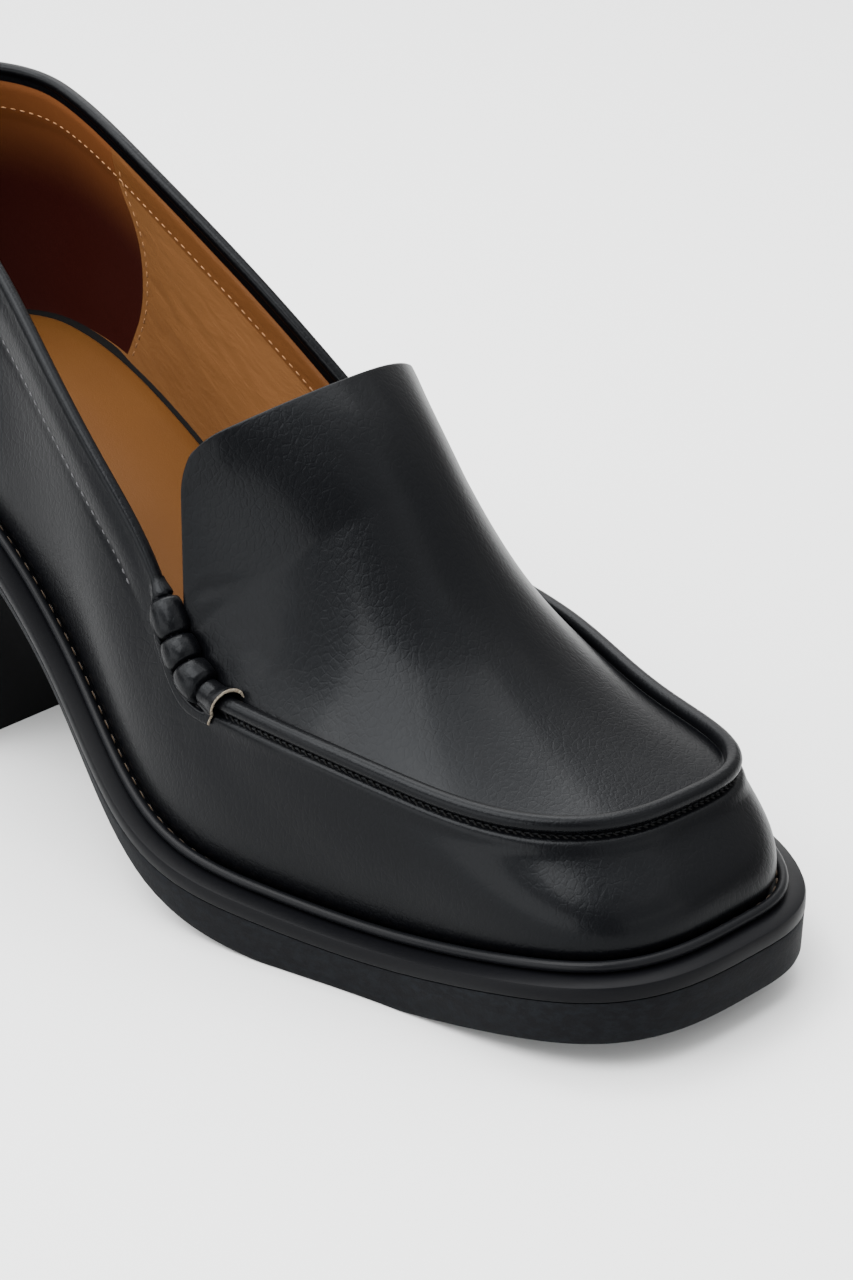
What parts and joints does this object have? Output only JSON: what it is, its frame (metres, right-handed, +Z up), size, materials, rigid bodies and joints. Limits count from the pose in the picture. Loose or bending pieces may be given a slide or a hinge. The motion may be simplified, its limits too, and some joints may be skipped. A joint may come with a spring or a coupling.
{
  "type": "loafer pump",
  "caption": "Slip-on pump with a block heel, square toe, raised apron seam, standing tongue and small tied tabs beside it.",
  "frame": {"origin": "on the floor, under the middle of the shoe's length and width", "axes": "+Z up; -Y towards the toe; -X towards the wearer's right, the lateral side of this right shoe"},
  "size_m": [0.093, 0.2402, 0.1295],
  "materials": {
    "upper_leather": "black box calf, glossy with a fine wrinkled grain",
    "tab_leather": "black glossy strip leather with a pale cut edge",
    "sole_rubber": "black rubber, smooth upper band and a rougher lower layer",
    "welt_edge": "black waxed leather bead",
    "heel_block": "black lacquered block, satin",
    "insole_leather": "tan sock leather, smooth and matt"
  },
  "bodies": {
    "root": {"outsole": "sole_rubber", "welt": "welt_edge", "heel": "heel_block", "insole": "insole_leather", "upper": "upper_leather", "tab_lateral": "tab_leather", "tab_medial": "tab_leather"}
  },
  "joints": []
}
